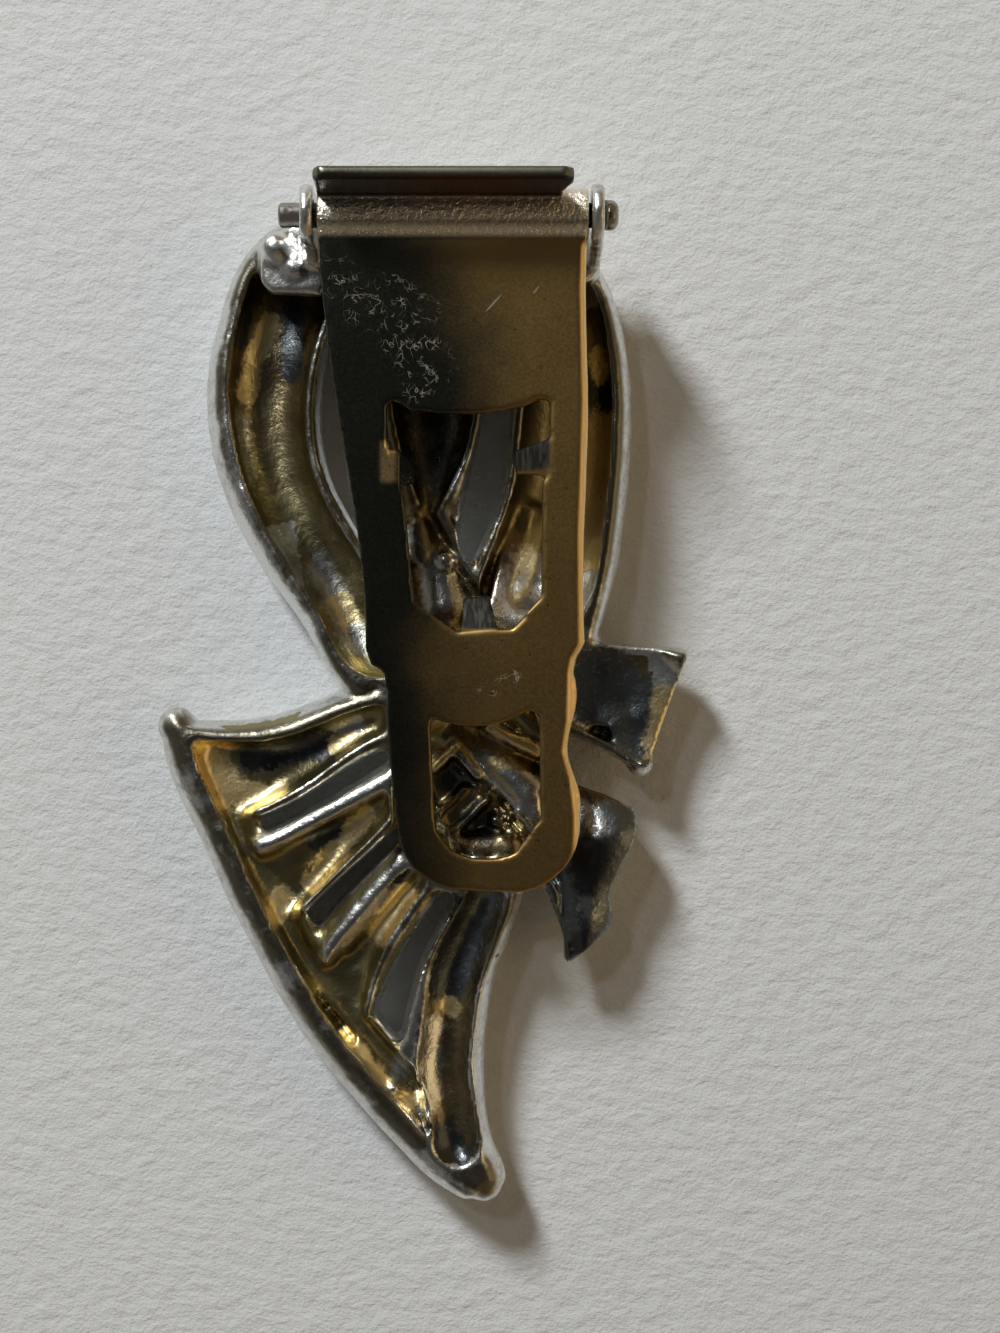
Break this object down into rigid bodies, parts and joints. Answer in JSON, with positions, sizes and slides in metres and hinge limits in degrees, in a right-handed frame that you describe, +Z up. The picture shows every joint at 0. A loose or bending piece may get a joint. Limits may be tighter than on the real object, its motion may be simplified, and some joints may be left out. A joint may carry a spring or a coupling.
{
  "type": "fur clip",
  "caption": "Cast metal ribbon bow hollowed from behind, with a soldered hinge bracket and a stamped, toothed, sprung lever with a thumb flange.",
  "frame": {"origin": "middle of the footprint on the surface that the clip lies on, face down", "axes": "+Y along the clip towards the hinge and thumb flange, +Z up from the front face of the ornament through the lever, +X to the right as seen from the lever side"},
  "size_m": [0.0296, 0.0559, 0.0135],
  "materials": {
    "plated_casting": "bright plated casting with a yellow tint, darkened in the hollows",
    "lever_sheet": "satin stamped sheet, brown-gold with tumbled nickel on the barrel",
    "pin_steel": "worn nickel-plated rivet"
  },
  "bodies": {
    "ornament": {"ribbon_ornament": "plated_casting", "hinge_pin": "pin_steel"},
    "lever": {"clip_lever": "lever_sheet"}
  },
  "joints": [
    {"name": "lever_hinge", "type": "hinge", "parent": "ornament", "child": "lever", "pos_m": [0, 0.02598, 0.0086], "axis": [-1, 0, 0], "range_deg": [0, 80], "stiffness_Nm_per_rad": 0.05, "springref_deg": -45.84}
  ]
}
